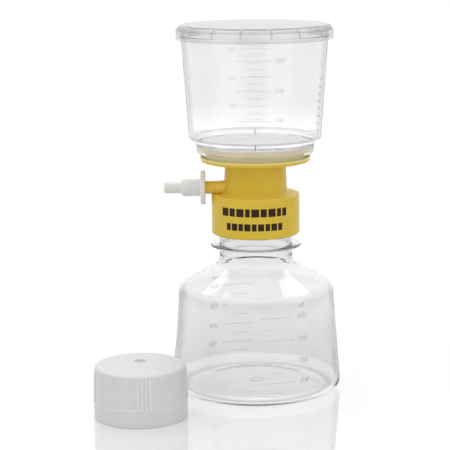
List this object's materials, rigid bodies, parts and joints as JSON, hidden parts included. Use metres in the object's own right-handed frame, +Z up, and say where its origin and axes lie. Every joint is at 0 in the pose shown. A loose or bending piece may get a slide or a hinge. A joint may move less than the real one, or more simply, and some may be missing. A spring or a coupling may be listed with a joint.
{
  "type": "vacuum filtration unit",
  "caption": "Vacuum filter: clear tapered chamber and lid on a yellow screw-on head with side arm and hose adapter, over a clear receiver bottle, with a spare white cap",
  "frame": {"origin": "where the receiver bottle's axis meets the surface it stands on", "axes": "+Z up along the bottle's axis, -X along the vacuum side arm, -Y towards the front with the collar's printed side"},
  "size_m": [0.152, 0.146, 0.2296],
  "materials": {
    "receiver_plastic": "clear moulded plastic",
    "chamber_plastic": "clear moulded plastic",
    "lid_plastic": "translucent moulded plastic",
    "head_plastic": "yellow moulded plastic, satin",
    "adapter_plastic": "white moulded plastic",
    "cap_plastic": "white moulded plastic",
    "membrane": "white filter membrane",
    "support_plastic": "white drilled plastic",
    "gasket_rubber": "soft white seal",
    "plug_fibre": "white fibre"
  },
  "bodies": {
    "receiver": {"receiver_bottle": "receiver_plastic", "storage_cap": "cap_plastic"},
    "gasket": {"neck_gasket": "gasket_rubber"},
    "head": {"filter_head": "head_plastic", "side_arm_plug": "plug_fibre", "membrane_support": "support_plastic", "membrane_filter": "membrane", "upper_chamber": "chamber_plastic"},
    "lid": {"chamber_lid": "lid_plastic"},
    "adapter": {"hose_adapter": "adapter_plastic"}
  },
  "joints": [
    {"name": "head_lift", "type": "slide", "parent": "receiver", "child": "gasket", "axis": [0, 0, 1], "range_m": [0, 0.00901]},
    {"name": "head_turn", "type": "hinge", "parent": "gasket", "child": "head", "pos_m": [0, 0, 0.1208], "axis": [0, 0, 1], "range_deg": [0, 810]},
    {"name": "lid_lift", "type": "slide", "parent": "head", "child": "lid", "axis": [0, 0, 1], "range_m": [0, 0.012]},
    {"name": "adapter_pull", "type": "slide", "parent": "head", "child": "adapter", "axis": [-1, 0, 0], "range_m": [0, 0.0125]}
  ],
  "couplings": [
    {"joint": "head_lift", "follows": "head_turn", "m_per_rad": 0.00063662}
  ]
}
